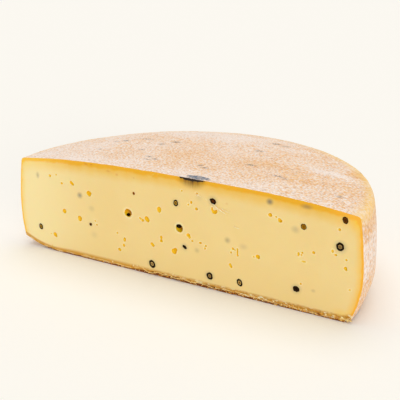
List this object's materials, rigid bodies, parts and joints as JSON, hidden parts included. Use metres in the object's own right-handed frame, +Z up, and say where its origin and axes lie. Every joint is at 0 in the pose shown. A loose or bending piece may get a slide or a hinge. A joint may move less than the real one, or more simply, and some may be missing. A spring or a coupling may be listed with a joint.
{
  "type": "cheese half wheel",
  "caption": "Piece of a semi-hard pepper cheese, a little more than half of a low round wheel, cut straight across to show the paste inside its washed rind.",
  "frame": {"origin": "on the surface that the cheese rests on, under the middle of its box", "axes": "+X along the straight cut face, +Y from the cut face towards the round back, +Z up through the crown"},
  "size_m": [0.2594, 0.1468, 0.074],
  "materials": {
    "paste": "slightly moist semi-hard cheese paste, pale yellow, satin",
    "rind": "dry washed rind, orange under a pinkish white bloom, matt",
    "peppercorn": "black peppercorn, wrinkled skin with a pale core, satin"
  },
  "bodies": {
    "root": {"cheese": "paste"}
  },
  "joints": []
}
